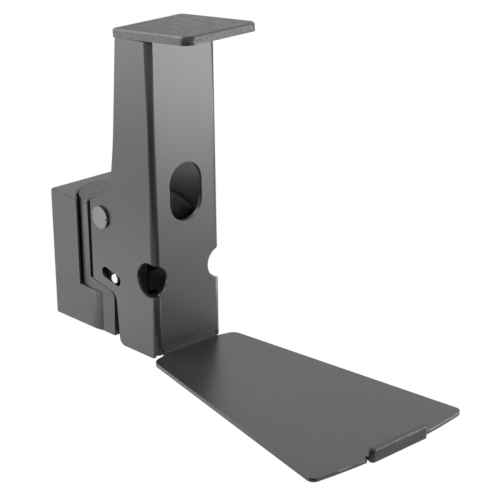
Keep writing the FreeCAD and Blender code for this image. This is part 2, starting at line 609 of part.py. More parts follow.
def tilt_cavity(body):
    """Openings in the turret for the carriage, the guide pin, the screw and the pivots."""
    cavity = new_sketch(body, "cavity", "XZ_Plane", "carriage_rear - cavity_gap")
    half = "(carriage_width / 2 + cavity_gap)"
    draw(cavity, rectangle(f"-{half}", half, "cavity_floor", "cavity_top"))
    cut(body, "cavity", cavity, "nose_front")
    low = "(pin_level - carriage_down - pin_radius - cavity_gap)"
    high = "(pin_level + carriage_up + pin_radius + cavity_gap)"
    wide = "(pin_radius + 2 * running_gap)"
    pin_slot = new_sketch(body, "pin_slot", "YZ_Plane")
    draw(pin_slot, [(f"-pin_depth - {wide}", f"{low} + {wide}", wide),
                    (f"-pin_depth + {wide}", f"{low} + {wide}"),
                    (f"-pin_depth + {wide}", f"{high} - {wide}", wide),
                    (f"-pin_depth - {wide}", f"{high} - {wide}")])
    cut(body, "pin_slot", pin_slot, "column_width", both=True)
    screw = new_sketch(body, "screw_hole", "XY_Plane", "skirt_low - 1")
    draw_circle(screw, "0", "-screw_depth", "screw_radius + running_gap")
    cut(body, "screw_hole", screw, "screw_end - skirt_low + 2")
    head = new_sketch(body, "screw_head", "XY_Plane", "skirt_low - 1")
    draw_circle(head, "0", "-screw_depth", "screw_head + 0.4")
    cut(body, "screw_head", head, "screw_sink + screw_head_tall + running_gap + 1")
    sides = (("right_thread", HALF_NOSE, True), ("left_thread", f"-{HALF_NOSE}", False))
    for name, offset, against in sides:
        thread = new_sketch(body, name, "YZ_Plane", offset)
        draw_circle(thread, "-pivot_depth", "pivot_level", "pivot_thread + running_gap")
        cut(body, name, thread, "pivot_thread_length + 1", against=against)


def turret_cap():
    """Moulded cap over the swivel bolt: a round disc that runs on over the nose."""
    body = new_body("turret_cap")
    disc = draw(new_sketch(body, "disc", "XY_Plane", "turret_top"), TURRET_BACK)
    pad(body, "disc", disc, "turret_cap_thick")
    outer, outer_radius, outer_end = nose_top("0")
    inner, inner_radius, inner_end = nose_top("turret_cap_thick")
    nose = new_sketch(body, "nose", "YZ_Plane")
    draw(nose, [("-swivel_depth", "turret_top"), ("-swivel_depth", "turret_top + turret_cap_thick"),
                (outer[0], outer[1], outer_radius), outer_end,
                (outer_end[0], f"{inner_end[1]} - turret_cap_thick"),
                (inner_end[0], f"{inner_end[1]} - turret_cap_thick"),
                (inner_end[0], inner_end[1], f"-{inner_radius}"), inner])
    pad(body, "nose", nose, f"2 * {TURRET_RADIUS}", both=True)
    beside = rectangle("-nose_front - 5", "-pocket_rear", f"{inner_end[1]} - 2 * turret_cap_thick",
                       "turret_top + 2 * turret_cap_thick")
    for name, offset, against in (("right_side", HALF_NOSE, False), ("left_side", f"-{HALF_NOSE}", True)):
        cut(body, name, draw(new_sketch(body, name, "YZ_Plane", offset), beside), TURRET_RADIUS,
            against=against)
    top = value("turret_top + turret_cap_thick")
    round_edges(body, "rim", "turret_cap_thick / 3",
                lambda e: near(e, z=top) and not near(e, x=0, y=value("-nose_flat")), kind="Chamfer")
    side, rib = f"({HALF_NOSE} - casting_wall - 2 * running_gap)", "cap_rib"
    ribs = (("left_rib", f"-{side}", f"-{side} + {rib}"), ("right_rib", f"{side} - {rib}", side))
    for name, x0, x1 in ribs:
        sketch = new_sketch(body, name, "XY_Plane", "turret_top")
        draw(sketch, rectangle(x0, x1, HOLLOW_FRONT + " + 2 * running_gap", "-swivel_depth + 2 * cap_rib"))
        pad(body, name, sketch, "2 * turret_cap_thick", against=True)
    return body


def speaker_bracket():
    """One folded sheet: face, two cheeks with lugs, platform, top flange and lip tab."""
    body = new_body("speaker_bracket")
    inner_radius = "(bend_radius - sheet_metal)"
    channel = new_sketch(body, "channel", "XY_Plane", "cheek_bottom")
    draw(channel, [(f"-{HALF_COLUMN}", "-lug_rear"),
                   (f"-{HALF_COLUMN}", "-face_depth + bend_radius", "bend_radius"),
                   (f"-{FOLD_HALF}", "-face_depth"),
                   (FOLD_HALF, "-face_depth", "bend_radius"),
                   (HALF_COLUMN, "-face_depth + bend_radius"), (HALF_COLUMN, "-lug_rear"),
                   (CHEEK_INSIDE, "-lug_rear"),
                   (CHEEK_INSIDE, "-face_depth + bend_radius", f"-{inner_radius}"),
                   (FOLD_HALF, "-face_depth + sheet_metal"),
                   (f"-{FOLD_HALF}", "-face_depth + sheet_metal", f"-{inner_radius}"),
                   (f"-{CHEEK_INSIDE}", "-face_depth + bend_radius"), (f"-{CHEEK_INSIDE}", "-lug_rear")])
    pad(body, "channel", channel, f"{CHEEK_TOP} - cheek_bottom")
    top_edge = new_sketch(body, "top_edge", "YZ_Plane")
    draw(top_edge, [("-face_depth + sheet_metal", CHEEK_TOP),
                    ("-face_depth + sheet_metal", f"{CHEEK_TOP} + 1"),
                    ("-lug_rear + 1", f"{CHEEK_TOP} + 1"),
                    ("-lug_rear + 1", f"{CHEEK_TOP} - (face_depth - sheet_metal - lug_rear + 1)"
                                      " * tan(cheek_top_fall * 1 deg)")])
    cut(body, "top_edge", top_edge, "column_width + 2", both=True)
    trim_cheeks(body)
    cable_holes(body)
    cross_folds(body)
    tilt_holes(body)
    return body


def trim_cheeks(body):
    """Cuts the cheeks' rear outline: back edge, lugs, and the lower rear edge."""
    step = "(lug_rear + lug_step)"
    top_depth = f"(back_low + ({CHEEK_TOP} + 1 - back_level) * tan(back_lean * 1 deg))"
    above = new_sketch(body, "above_lugs", "YZ_Plane")
    draw(above, [("-lug_rear + 1", "lug_top - tan(lug_rise * 1 deg)"),
                 ("-lug_rear + 1", f"{CHEEK_TOP} + 1"), (f"-{top_depth}", f"{CHEEK_TOP} + 1"),
                 ("-back_low", "back_level", "back_sweep"), ("-sweep_low", "sweep_level", "back_curve"),
                 (f"-{step}", "lug_top + lug_step * tan(lug_rise * 1 deg)")])
    cut(body, "above_lugs", above, "column_width + 2", both=True)
    low_corner = "(lug_low - (cheek_rear - lug_rear) * tan(lug_slope * 1 deg))"
    foot = f"(cheek_rear + ({low_corner} - cheek_bottom) * tan(cheek_rear_lean * 1 deg))"
    below = new_sketch(body, "below_lugs", "YZ_Plane")
    draw(below, [("-lug_rear + 1", "lug_low + tan(lug_slope * 1 deg)"), ("-cheek_rear", low_corner),
                 (f"-{foot} - tan(cheek_rear_lean * 1 deg)", "cheek_bottom - 1"),
                 ("-lug_rear + 1", "cheek_bottom - 1")])
    cut(body, "below_lugs", below, "column_width + 2", both=True)
    inner_y, inner_z = value("-cheek_rear"), value(low_corner)
    round_edges(body, "lug_curve", "lug_curve",
                lambda e: along(e, "X") and near(e, y=inner_y, z=inner_z))
    foot_y, foot_z = value(f"-{foot}"), value("cheek_bottom")
    round_edges(body, "low_corner", "cheek_corner",
                lambda e: along(e, "X") and near(e, y=foot_y, z=foot_z))


def cable_holes(body):
    """Oval hole in the face, and a round hole across each long bend."""
    half = "(oval_wide / 2)"
    reach = "(oval_tall / 2 - oval_wide / 2)"
    oval = new_sketch(body, "oval", "XZ_Plane", "face_depth - sheet_metal - 1")
    draw(oval, [(f"-{half}", f"oval_level - {reach}", half), (half, f"oval_level - {reach}"),
                (half, f"oval_level + {reach}", half), (f"-{half}", f"oval_level + {reach}")])
    cut(body, "oval", oval, "sheet_metal + 2")
    setback = "(notch_cheek - notch_radius)"
    half_height = f"sqrt(notch_radius ^ 2 - {setback} ^ 2)"
    inward = "(notch_face - bend_radius)"
    face_radius = f"(({half_height} ^ 2 + {inward} ^ 2) / (2 * {inward}))"
    for side, sign, against in (("right", "", False), ("left", "-", True)):
        cheek = new_sketch(body, f"{side}_notch_cheek", "YZ_Plane", f"{sign}{FOLD_HALF}")
        draw_circle(cheek, f"-face_depth + {setback}", "notch_level", "notch_radius")
        cut(body, f"{side}_notch_cheek", cheek, "2 * bend_radius", against=against)
        face = new_sketch(body, f"{side}_notch_face", "XZ_Plane", "face_depth - bend_radius")
        draw_circle(face, f"{sign}(column_width / 2 - notch_face + {face_radius})", "notch_level",
                    face_radius)
        cut(body, f"{side}_notch_face", face, "2 * bend_radius")


def cross_folds(body):
    """Platform, lip tab and top flange, each folded from the sheet, with relief slits."""
    neck = f"({FOLD_HALF} - relief_wide)"
    back = "(-face_depth + sheet_metal)"
    tangent = "(fold_radius * tan(45 deg - platform_fall * 0.5 deg))"
    slope, across = "sin(platform_fall * 1 deg)", "cos(platform_fall * 1 deg)"
    start = f"(platform_level + {tangent} + relief_wide)"
    below = new_sketch(body, "lower_relief", "XZ_Plane", "face_depth - sheet_metal - 1")
    draw(below, rectangle(f"-{FOLD_HALF}", FOLD_HALF, "cheek_bottom - 1", start))
    cut(body, "lower_relief", below, "sheet_metal + 2")
    bands = new_sketch(body, "bend_relief", "XZ_Plane", "face_depth - bend_radius")
    draw(bands, rectangle(f"-{HALF_COLUMN} - 1", f"{HALF_COLUMN} + 1", "cheek_bottom - 1",
                          "cheek_bottom + relief_up"))
    cut(body, "bend_relief", bands, "2 * bend_radius")
    fold = new_sketch(body, "platform_fold", "YZ_Plane")
    end_y, end_z = f"(-face_depth - {tangent} * {across})", f"(platform_level - {tangent} * {slope})"
    draw(fold, [("-face_depth", start), (back, start),
                (back, f"platform_level + {tangent}", "-(fold_radius + sheet_metal)"),
                (f"{end_y} + sheet_metal * {slope}", f"{end_z} - sheet_metal * {across}"),
                (end_y, end_z, "fold_radius"), ("-face_depth", f"platform_level + {tangent}")])
    pad(body, "platform_fold", fold, f"2 * {neck}", both=True)

    widen = "((platform_front - platform_back) / 2 / platform_length)"
    shoulder = f"(platform_back / 2 + shoulder_far * {widen})"
    front = "(platform_front / 2)"
    bow = f"(({front} ^ 2 + platform_bow ^ 2) / (2 * platform_bow))"
    plate = new_sketch(body, "platform", "XY_Plane")
    lean_sketch(plate, "platform_fall", "face_depth", "platform_level")
    draw(plate, [(f"-{neck}", f"-{tangent}"), (f"-{neck}", "-shoulder_near"),
                 (f"-{shoulder}", "-shoulder_far"), (f"-{front}", "-platform_length", bow),
                 (front, "-platform_length"), (shoulder, "-shoulder_far"),
                 (neck, "-shoulder_near"), (neck, f"-{tangent}")])
    pad(body, "platform", plate, "sheet_metal", against=True)
    shoulder_x, front_x = value(shoulder), value(front)
    round_edges(body, "rear_corners", "shoulder_curve",
                lambda e: near_side(e, shoulder_x) and e.Length < value("sheet_metal") * 1.01)
    round_edges(body, "front_corners", "corner_curve",
                lambda e: near_side(e, front_x) and e.Length < value("sheet_metal") * 1.01)
    lip_tab(body)
    top_flange(body)


def near_side(edge, x):
    """True for an upright edge of the platform at a distance x from the middle, either side."""
    middle = edge.BoundBox.Center
    return (abs(abs(middle.x) - x) < 0.02 and edge.BoundBox.ZLength > 0.9 * edge.Length
            and middle.y < value("-face_depth") and middle.z < value("platform_level"))


def lip_tab(body):
    """Tab folded up from the middle of the platform's front edge, with a slit at each end."""
    inner = f"(-{TAB_FACE} + sheet_metal)"
    bend_end = f"({inner} + fold_radius)"
    half = "(tab_wide / 2 + 2 * relief_wide)"
    slits = new_sketch(body, "tab_relief", "XY_Plane")
    lean_sketch(slits, "platform_fall", "face_depth", "platform_level")
    inner_half, slit_end = "tab_wide / 2", f"{bend_end} + relief_wide"
    draw(slits, [(f"-{half}", f"-{TAB_FACE} - 2"), (half, f"-{TAB_FACE} - 2"), (half, slit_end),
                 (inner_half, slit_end), (inner_half, bend_end), (f"-{inner_half}", bend_end),
                 (f"-{inner_half}", slit_end), (f"-{half}", slit_end)])
    cut(body, "tab_relief", slits, "4 * sheet_metal", both=True)
    tab = new_sketch(body, "tab", "YZ_Plane")
    lean_side_sketch(tab, "platform_fall", "face_depth", "platform_level")
    draw(tab, [(bend_end, "0"), (bend_end, "-sheet_metal", "-(fold_radius + sheet_metal)"),
               (f"-{TAB_FACE}", "fold_radius"), (f"-{TAB_FACE}", "tab_tall"), (inner, "tab_tall"),
               (inner, "fold_radius", "fold_radius")])
    pad(body, "tab", tab, "tab_wide", both=True)


def top_flange(body):
    """Face carried up to the top fold, and the flange that rises to the front."""
    back = "(-face_depth + sheet_metal)"
    corner = f"({CAP_LEVEL} + {CAP_SKIN})"
    tangent = "(fold_radius * tan(45 deg - cap_rise * 0.5 deg))"
    slope, across = "sin(cap_rise * 1 deg)", "cos(cap_rise * 1 deg)"

    def along_flange(distance, height):
        return (f"-face_depth - {distance} * {across} + {height} * {slope}",
                f"{corner} + {distance} * {slope} + {height} * {across}")

    flange = new_sketch(body, "flange", "YZ_Plane")
    draw(flange, [("-face_depth", f"{CHEEK_TOP} - 1"),
                  ("-face_depth", f"{corner} - {tangent}", "fold_radius"),
                  along_flange(tangent, "0"), along_flange("flange_length", "0"),
                  along_flange("flange_length", "sheet_metal"),
                  along_flange(tangent, "sheet_metal") + ("-(fold_radius + sheet_metal)",),
                  (back, f"{corner} - {tangent}"), (back, f"{CHEEK_TOP} - 1")])
    pad(body, "flange", flange, f"2 * {FOLD_HALF}", both=True)


def tilt_holes(body):
    """Pivot holes and guide slots in both cheeks."""
    pivot = new_sketch(body, "pivot_holes", "YZ_Plane")
    draw_circle(pivot, "-pivot_depth", "pivot_level", "pivot_shoulder + running_gap")
    cut(body, "pivot_holes", pivot, "column_width + 2", both=True)
    run, fall = "cos(slot_fall * 1 deg)", "sin(slot_fall * 1 deg)"
    half = "(slot_width / 2)"

    def corner(distance, side):
        return (f"-pin_depth - {distance} * {run} - {side} * {half} * {fall}",
                f"pin_level - {distance} * {fall} + {side} * {half} * {run}")

    slot = new_sketch(body, "guide_slots", "YZ_Plane")
    ahead, behind = "slot_ahead", "(-slot_behind)"
    draw(slot, [corner(ahead, "1") + (half,), corner(ahead, "(-1)"),
                corner(behind, "(-1)") + (half,), corner(behind, "1")])
    cut(body, "guide_slots", slot, "column_width + 2", both=True)


def top_cap():
    """Moulded cap on the top flange, hollow underneath behind the column face."""
    body = new_body("top_cap", depth="face_depth", level=CAP_LEVEL, axis=Vector(1, 0, 0),
                    angle="-cap_rise")
    plan = new_sketch(body, "plan", "XY_Plane")
    side = f"({HALF_COLUMN} + cap_overhang)"
    draw(plan, rectangle(f"-{side}", side, "-cap_ahead", "cap_behind"))
    pad(body, "plan", plan, "cap_thick")
    front, rear = value("-cap_ahead"), value("cap_behind")
    round_edges(body, "front_corners", "cap_corner",
                lambda e: along_local(e, "cap_thick") and near(e, y=front))
    round_edges(body, "rear_corners", "cap_rear_corner",
                lambda e: along_local(e, "cap_thick") and near(e, y=rear))
    top = value("cap_thick")
    round_edges(body, "upper_edge", "cap_bevel", lambda e: near(e, z=top), kind="Chamfer")
    slot_low = f"({CAP_SKIN} - running_gap)"
    slot_high = f"({CAP_SKIN} + sheet_metal + running_gap)"
    hollow = new_sketch(body, "hollow", "YZ_Plane")
    mouth = "-fold_radius - 0.5"
    draw(hollow, [("-flange_length - 0.2", slot_low), (mouth, slot_low), (mouth, "-1"),
                  ("cap_behind - cap_wall", "-1"), ("cap_behind - cap_wall", slot_high),
                  ("-flange_length - 0.2", slot_high)])
    cut(body, "hollow", hollow, "column_width - 2 * bend_radius + 0.4", both=True)
    return body


def along_local(edge, height):
    """True for a straight edge as long as the piece is thick."""
    return edge.Curve.TypeId == "Part::GeomLine" and abs(edge.Length - value(height)) < 0.001


def lip_cap():
    """Moulded cover pushed over the lip tab, with its ends in the slits."""
    body = new_body("lip_cap", depth="face_depth", level="platform_level", axis=Vector(1, 0, 0),
                    angle="platform_fall")
    low, high = "(-lip_below)", "(tab_tall + lip_wall)"
    front = f"(-{TAB_FACE} - lip_wall)"
    inner = f"(-{TAB_FACE} + sheet_metal)"
    bend = "(fold_radius + running_gap)"
    section = new_sketch(body, "section", "YZ_Plane")
    draw(section, [(front, low), (front, high), (f"{inner} + lip_wall", high), (f"{inner} + lip_wall", bend),
                   (f"{inner} + running_gap", bend), (f"{inner} + running_gap", "tab_tall + running_gap"),
                   (f"-{TAB_FACE} - running_gap", "tab_tall + running_gap"),
                   (f"-{TAB_FACE} - running_gap", low)])
    inside, outside = "(tab_wide / 2 + running_gap)", "(tab_wide / 2 + 2 * relief_wide - 2 * running_gap)"
    pad(body, "section", section, f"2 * {outside}", both=True)
    for name, offset, against in (("right_end", inside, False), ("left_end", f"-{inside}", True)):
        end = new_sketch(body, name, "YZ_Plane", offset)
        draw(end, rectangle(front, f"{inner} + lip_wall", low, high))
        pad(body, name, end, f"{outside} - {inside}", against=against)
    end, top = value(outside), value(high)
    round_edges(body, "ends", "lip_end_round",
                lambda e: along(e, "Z") and (near(e, x=end) or near(e, x=-end)))
    round_edges(body, "upper_edges", "lip_round", lambda e: near(e, z=top))
    return body


def pivot_screws():
    """Shoulder screws through the cheeks into the turret, and the washers inside the cheeks."""
    gap = f"({CHEEK_INSIDE} - {HALF_NOSE})"
    for side, sign, turn_angle in (("right", "", "90"), ("left", "-", "-90")):
        place = dict(side=f"{sign}({HALF_NOSE})", depth="pivot_depth", level="pivot_level",
                     axis=Vector(0, 1, 0), angle=turn_angle)
        screw = new_body(f"pivot_screw_{side}", **place)
        seat = f"({gap} + sheet_metal + running_gap)"
        crown = f"({seat} + pivot_head_thick)"
        turn(screw, "section", "XZ_Plane",
             [("0", "-pivot_thread_length"), ("pivot_thread", "-pivot_thread_length"),
              ("pivot_thread", "0"), ("pivot_shoulder", "0"), ("pivot_shoulder", seat),
              ("pivot_head", seat), ("pivot_head", crown), ("0", crown)])
        notches = new_sketch(screw, "notches", "XY_Plane", crown)
        for low, high in (("pivot_head - pivot_notch", "pivot_head + 1"),
                          ("-pivot_head - 1", "pivot_notch - pivot_head")):
            draw(notches, rectangle("-pivot_notch / 2", "pivot_notch / 2", low, high))
        cut(screw, "notches", notches, "pivot_head_thick / 2", against=True)
        ring(f"pivot_washer_{side}", "pivot_shoulder + running_gap", "pivot_washer",
             "running_gap", f"{gap} - running_gap", **place)


def tilt_carriage():
    """Threaded block that the adjusting screw lifts, carrying the guide pin."""
    body = new_body("tilt_carriage")
    half = "carriage_width / 2"
    block = new_sketch(body, "block", "XY_Plane", "pin_level - carriage_half")
    draw(block, rectangle(f"-{half}", half, "-carriage_front", "-carriage_rear"))
    pad(body, "block", block, "2 * carriage_half")
    thread = new_sketch(body, "thread", "XY_Plane", "pin_level - carriage_half - 1")
    draw_circle(thread, "0", "-screw_depth", "screw_radius + running_gap")
    cut(body, "thread", thread, "2 * carriage_half + 2")
    pin = new_sketch(body, "pin_hole", "YZ_Plane")
    draw_circle(pin, "-pin_depth", "pin_level", "pin_radius + running_gap")
    cut(body, "pin_hole", pin, "carriage_width + 2", both=True)
    return body


def guide_pin():
    body = new_body("guide_pin", depth="pin_depth", level="pin_level", axis=Vector(0, 1, 0), angle="90")
    turn(body, "section", "XZ_Plane",
         [("0", f"-{HALF_COLUMN}"), ("pin_radius - 0.3", f"-{HALF_COLUMN}"),
          ("pin_radius", f"-{HALF_COLUMN} + 0.3"), ("pin_radius", f"{HALF_COLUMN} - 0.3"),
          ("pin_radius - 0.3", HALF_COLUMN), ("0", HALF_COLUMN)])
    return body


def tilt_screw():
    """Adjusting screw with its head in the turret's lower edge and a groove for the clip."""
    body = new_body("tilt_screw", depth="screw_depth")
    head_top = f"({SCREW_LOW} + screw_head_tall)"
    groove = "(screw_radius - 0.5)"
    turn(body, "section", "XZ_Plane",
         [("0", SCREW_LOW), ("screw_head", SCREW_LOW), ("screw_head", head_top),
          ("screw_radius", head_top), ("screw_radius", CLIP_LOW), (groove, CLIP_LOW),
          (groove, f"{CLIP_LOW} + clip_thick"), ("screw_radius", f"{CLIP_LOW} + clip_thick"),
          ("screw_radius", "screw_end - 0.5"), ("screw_radius - 0.5", "screw_end"), ("0", "screw_end")])
    key = new_sketch(body, "socket", "XY_Plane", SCREW_LOW)
    draw(key, hexagon("2 * screw_socket"))
    cut(body, "socket", key, "screw_head_tall / 2")
    return body


def screw_clip():
    """Retaining clip in the screw's groove, open to the front."""
    body = new_body("screw_clip", depth="screw_depth", level=CLIP_LOW)
    inner = "(screw_radius - 0.5 + running_gap)"
    turn(body, "section", "XZ_Plane", rectangle(inner, "clip_radius", "0", "clip_thick"))
    mouth = new_sketch(body, "mouth", "XY_Plane", "-1")
    draw(mouth, rectangle("-screw_radius * 0.7", "screw_radius * 0.7", "-2 * clip_radius", "0"))
    cut(body, "mouth", mouth, "clip_thick + 2")
    return body


def check(document):
    """Stops where a feature failed, a solid is wrong or a cut removed nothing."""
    for thing in document.Objects:
        if "Invalid" in thing.State or "Error" in thing.State:
            raise RuntimeError(f"{thing.Name} failed: {thing.State}")
        if thing.TypeId in ("PartDesign::Pocket", "PartDesign::Groove"):
            if thing.Shape.Volume > thing.BaseFeature.Shape.Volume - 0.01:
                raise RuntimeError(f"{thing.Name} cuts nothing")
    for body in PARTS:
        if body.Shape.isNull() or not body.Shape.isValid() or len(body.Shape.Solids) != 1:
            raise RuntimeError(f"{body.Name} is not one valid solid")


wall_plate()
wall_cover()
swivel_bolt()
swivel_nut()
swivel_stack()
swivel_bushes()
turret_body()
turret_cap()
speaker_bracket()
top_cap()
lip_cap()
pivot_screws()
tilt_carriage()
guide_pin()
tilt_screw()
screw_clip()

doc.recompute()
check(doc)
os.makedirs("parts", exist_ok=True)
for body in PARTS:
    body.Shape.exportStep(f"parts/{body.Label}.step")
    print(f"{body.Label:20s} {body.Shape.Volume / 1000:8.2f} cm3")
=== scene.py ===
"""Wall bracket for a tabletop speaker: surface looks, softened edges, camera and studio.

Lengths are in metres in the part's own frame: the origin is on the wall behind the middle of
the wall plate, Y points into the wall and Z up.
"""
import math

import bpy
from mathutils import Matrix, Vector

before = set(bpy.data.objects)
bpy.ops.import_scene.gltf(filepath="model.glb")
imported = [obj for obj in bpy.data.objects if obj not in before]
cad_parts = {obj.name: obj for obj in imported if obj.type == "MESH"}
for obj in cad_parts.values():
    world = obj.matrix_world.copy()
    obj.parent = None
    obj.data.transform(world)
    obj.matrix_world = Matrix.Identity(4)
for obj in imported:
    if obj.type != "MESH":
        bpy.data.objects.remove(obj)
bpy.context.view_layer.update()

# A point on each line of the part that the looks refer to
PLATFORM_FOLD = (0.0, -0.0945, -0.0396)
PIVOT_AXIS = (0.0, -0.0477, 0.0332)
SWIVEL_AXIS = (0.0, -0.0352, 0.0)
TILT_SCREW_AXIS = (0.0, -0.0685, 0.0)
# Screw threads: a radius that holds the whole thread, and the pitch
M6 = (0.0031, 0.001)
M8 = (0.0041, 0.00125)


# Node materials

class Shader:
    """A material's node tree with short calls for the nodes used here."""

    def __init__(self, name, roughness, metallic=0.0, specular=0.5):
        self.material = bpy.data.materials.new(name)
        self.material.use_nodes = True
        self.tree = self.material.node_tree
        self.surface = self.tree.nodes["Principled BSDF"]
        self.surface.inputs["Roughness"].default_value = roughness
        self.surface.inputs["Metallic"].default_value = metallic
        self.surface.inputs["Specular IOR Level"].default_value = specular
        coordinates = self.add("ShaderNodeTexCoord")
        self.place, self.normal = coordinates.outputs["Object"], coordinates.outputs["Normal"]

    def add(self, kind, **settings):
        """A new node, with each setting given to its property or socket of that name."""
        node = self.tree.nodes.new(kind)
        for key, setting in settings.items():
            if hasattr(node, key):
                setattr(node, key, setting)
            else:
                node.inputs[key.replace("_", " ")].default_value = setting
        return node

    def link(self, output, target):
        self.tree.links.new(output, target)

    def stretched(self, scale):
        """Object coordinates stretched along one or more axes."""
        mapping = self.add("ShaderNodeMapping")
        mapping.inputs["Scale"].default_value = scale
        self.link(self.place, mapping.inputs["Vector"])
        return mapping.outputs["Vector"]

    def noise(self, scale, detail=3.0, roughness=0.55, vector=None):
        node = self.add("ShaderNodeTexNoise", Scale=scale, Detail=detail, Roughness=roughness)
        self.link(vector or self.place, node.inputs["Vector"])
        return node.outputs["Fac"]

    def cells(self, scale, vector=None):
        node = self.add("ShaderNodeTexVoronoi", Scale=scale)
        self.link(vector or self.place, node.inputs["Vector"])
        return node.outputs["Distance"]

    def ramp(self, value, stops):
        node = self.add("ShaderNodeValToRGB")
        for element, (position, colour) in zip(node.color_ramp.elements, stops):
            element.position = position
            element.color = (*colour, 1.0)
        self.link(value, node.inputs["Fac"])
        return node.outputs["Color"]

    def band(self, value, low, high, start=0.25, end=0.75):
        """The value, taken from start..end to low..high."""
        node = self.add("ShaderNodeMapRange")
        node.inputs["From Min"].default_value = start
        node.inputs["From Max"].default_value = end
        node.inputs["To Min"].default_value = low
        node.inputs["To Max"].default_value = high
        self.link(value, node.inputs["Value"])
        return node.outputs["Result"]

    def maths(self, operation, *values):
        node = self.add("ShaderNodeMath", operation=operation)
        for socket, value in zip(node.inputs, values):
            if isinstance(value, float):
                socket.default_value = value
            else:
                self.link(value, socket)
        return node.outputs["Value"]

    def from_axis(self, axis, through):
        """Distance from a line along X or Z through a point."""
        across = [0.0 if letter == axis else 1.0 for letter in "XYZ"]
        flat = self.add("ShaderNodeVectorMath", operation="MULTIPLY")
        flat.inputs[1].default_value = across
        self.link(self.place, flat.inputs[0])
        away = self.add("ShaderNodeVectorMath", operation="DISTANCE")
        away.inputs[1].default_value = [a * b for a, b in zip(across, through)]
        self.link(flat.outputs["Vector"], away.inputs[0])
        return away.outputs["Value"]

    def thread(self, axis, through, radius, pitch):
        """Height of a screw thread's turns on what lies within a radius of its axis."""
        turns = self.add("ShaderNodeTexWave", wave_type="BANDS", bands_direction=axis,
                         Scale=math.pi / (10.0 * pitch))
        self.link(self.place, turns.inputs["Vector"])
        inside = self.maths("LESS_THAN", self.from_axis(axis, through), radius)
        return self.maths("MULTIPLY", turns.outputs["Fac"], inside)

    def bump(self, height, depth, before=None):
        """Surface relief of that depth, on top of an earlier one if there is one."""
        node = self.add("ShaderNodeBump", Strength=1.0, Distance=depth)
        self.link(height, node.inputs["Height"])
        if before is not None:
            self.link(before, node.inputs["Normal"])
        return node.outputs["Normal"]

    def finish(self, colour=None, roughness=None, normal=None):
        pairs = ((colour, "Base Color"), (roughness, "Roughness"), (normal, "Normal"))
        for output, socket in pairs:
            if output is not None:
                self.link(output, self.surface.inputs[socket])
        return self.material


def grey(level, tint=0.0):
    """A grey of that level, with its blue raised by the share tint."""
    return (level, level, level * (1.0 + tint))


def powder_coat(name, level, roughness, grain=2600.0, depth=0.00002, dull_line=None):
    """Satin powder coat: orange peel, a fine grain and slow changes of tone.

    The coat is duller within dull_reach of a fold that runs along X through dull_line.
    """
    tint, dull_roughness, dull_core, dull_reach = 0.03, 0.75, 0.002, 0.004
    shader = Shader(name, roughness)
    tone = shader.noise(22.0, 2.0)
    colour = shader.ramp(tone, [(0.3, grey(level * 0.92, tint)), (0.7, grey(level * 1.08, tint))])
    peel = shader.noise(grain * 0.35, 2.0)
    fine = shader.noise(grain, 3.0)
    normal = shader.bump(fine, depth * 0.5, shader.bump(peel, depth))
    gloss = shader.band(fine, roughness - 0.04, roughness + 0.06)
    if dull_line is not None:
        from_fold = shader.from_axis("X", dull_line)
        dull = shader.band(from_fold, dull_roughness, roughness, dull_core, dull_reach)
        gloss = shader.maths("MAXIMUM", gloss, dull)
    return shader.finish(colour, gloss, normal)


def moulded(name, level, roughness, grain=900.0, depth=0.00006, rounding=None):
    """Moulded plastic with an eroded texture.

    With a rounding, its edges shade as if they were rounded by that much.
    """
    shader = Shader(name, roughness)
    pits = shader.cells(grain)
    fine = shader.noise(grain * 2.4, 4.0, 0.7)
    colour = shader.ramp(fine, [(0.35, grey(level * 0.8)), (0.65, grey(level * 1.2))])
    rounded = None
    if rounding is not None:
        rounded = shader.add("ShaderNodeBevel", samples=8, Radius=rounding).outputs["Normal"]
    normal = shader.bump(fine, depth * 0.8, shader.bump(pits, depth, rounded))
    return shader.finish(colour, shader.band(fine, roughness - 0.06, roughness + 0.08), normal)


def leathery(name, level, roughness):
    """Moulded cap: a coarse, drawn-out hide texture on its top, and smoother, glossier sides."""
    shader = Shader(name, roughness)
    drawn = shader.stretched((1.0, 0.45, 1.0))
    coarse = shader.noise(260.0, 5.0, 0.7, drawn)
    hide = shader.cells(520.0, vector=drawn)
    fine = shader.noise(1700.0, 3.0, 0.6)
    colour = shader.ramp(coarse, [(0.38, grey(level * 0.45)), (0.62, grey(level * 1.7))])
    upright = shader.add("ShaderNodeSeparateXYZ")
    shader.link(shader.normal, upright.inputs["Vector"])
    top = shader.band(upright.outputs["Z"], 0.0, 1.0, 0.8, 0.98)
    relief = shader.maths("MULTIPLY", coarse, top)
    normal = shader.bump(fine, 0.00004, shader.bump(hide, 0.00008, shader.bump(relief, 0.0008)))
    top_gloss = shader.maths("MULTIPLY", shader.band(coarse, -0.06, 0.34), top)
    side_gloss = shader.band(fine, roughness - 0.04, roughness + 0.06)
    return shader.finish(colour, shader.maths("ADD", side_gloss, top_gloss), normal)


def metal(name, level, roughness, warm=0.0, stretch=(1.0, 1.0, 1.0), thread=None):
    """Plated or turned metal with fine tool marks, and with a thread's turns where it has one."""
    shader = Shader(name, roughness, metallic=1.0)
    marks = shader.noise(1800.0, 4.0, 0.6, shader.stretched(stretch))
    low, high = level * 0.9, level * 1.06
    colour = shader.ramp(marks, [(0.3, (low * (1 + warm), low, low * (1 - warm))),
                                 (0.7, (high * (1 + warm), high, high * (1 - warm)))])
    turned = shader.bump(shader.thread(*thread), 0.0005) if thread else None
    return shader.finish(colour, shader.band(marks, roughness - 0.06, roughness + 0.1),
                         shader.bump(marks, 0.00001, turned))


def nylon(name):
    """Natural nylon, a warm off-white."""
    shader = Shader(name, 0.5, specular=0.4)
    tone = shader.noise(300.0)
    colour = shader.ramp(tone, [(0.3, (0.68, 0.67, 0.62)), (0.7, (0.76, 0.75, 0.71))])
    return shader.finish(colour, None, shader.bump(shader.noise(1500.0), 0.00002))


